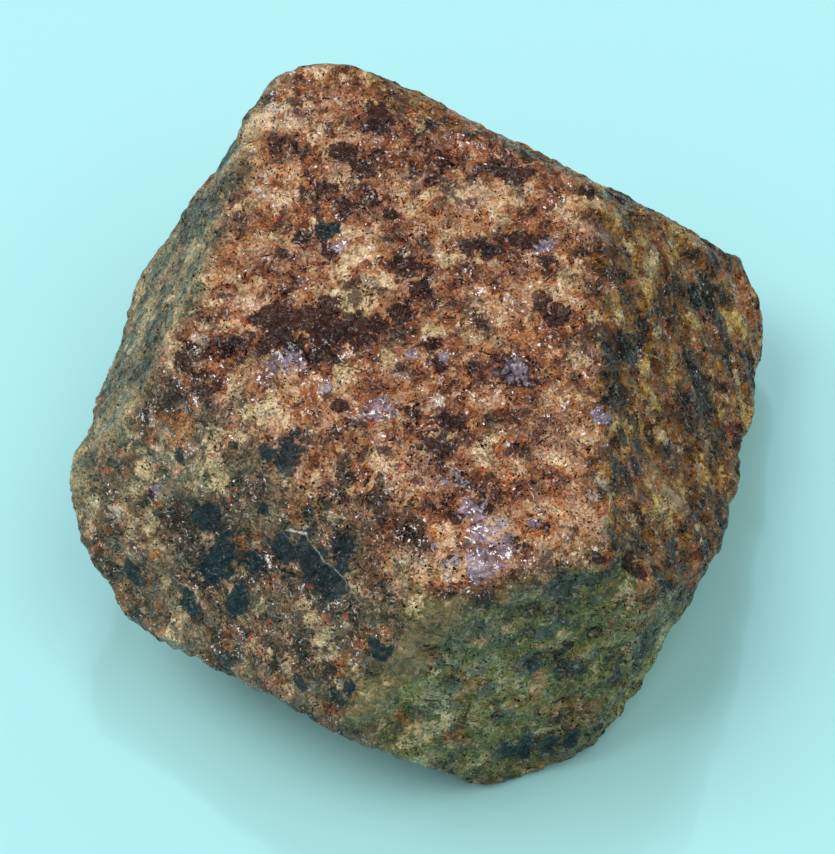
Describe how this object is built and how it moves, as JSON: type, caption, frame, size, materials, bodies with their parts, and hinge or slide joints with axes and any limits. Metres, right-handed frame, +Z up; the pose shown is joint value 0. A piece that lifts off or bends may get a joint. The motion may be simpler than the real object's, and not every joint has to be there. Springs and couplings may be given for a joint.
{
  "type": "garnet crystal",
  "caption": "Loose natural garnet crystal, a worn and slightly distorted rhombic dodecahedron with granular reddish brown faces, lying on its flat base face.",
  "frame": {"origin": "middle of the bounding box in plan, on the surface that the crystal rests on", "axes": "+X along the longest side, from the left-hand to the right-hand point of the girdle; +Y from the steep front face to the back face; +Z up, from the flat base face to the reddish top face"},
  "size_m": [0.0494, 0.0401, 0.0294],
  "materials": {
    "garnet": "rough granular crystal faces with small glassy glints, streaked reddish brown, olive and near black"
  },
  "bodies": {
    "root": {"garnet_crystal": "garnet"}
  },
  "joints": []
}
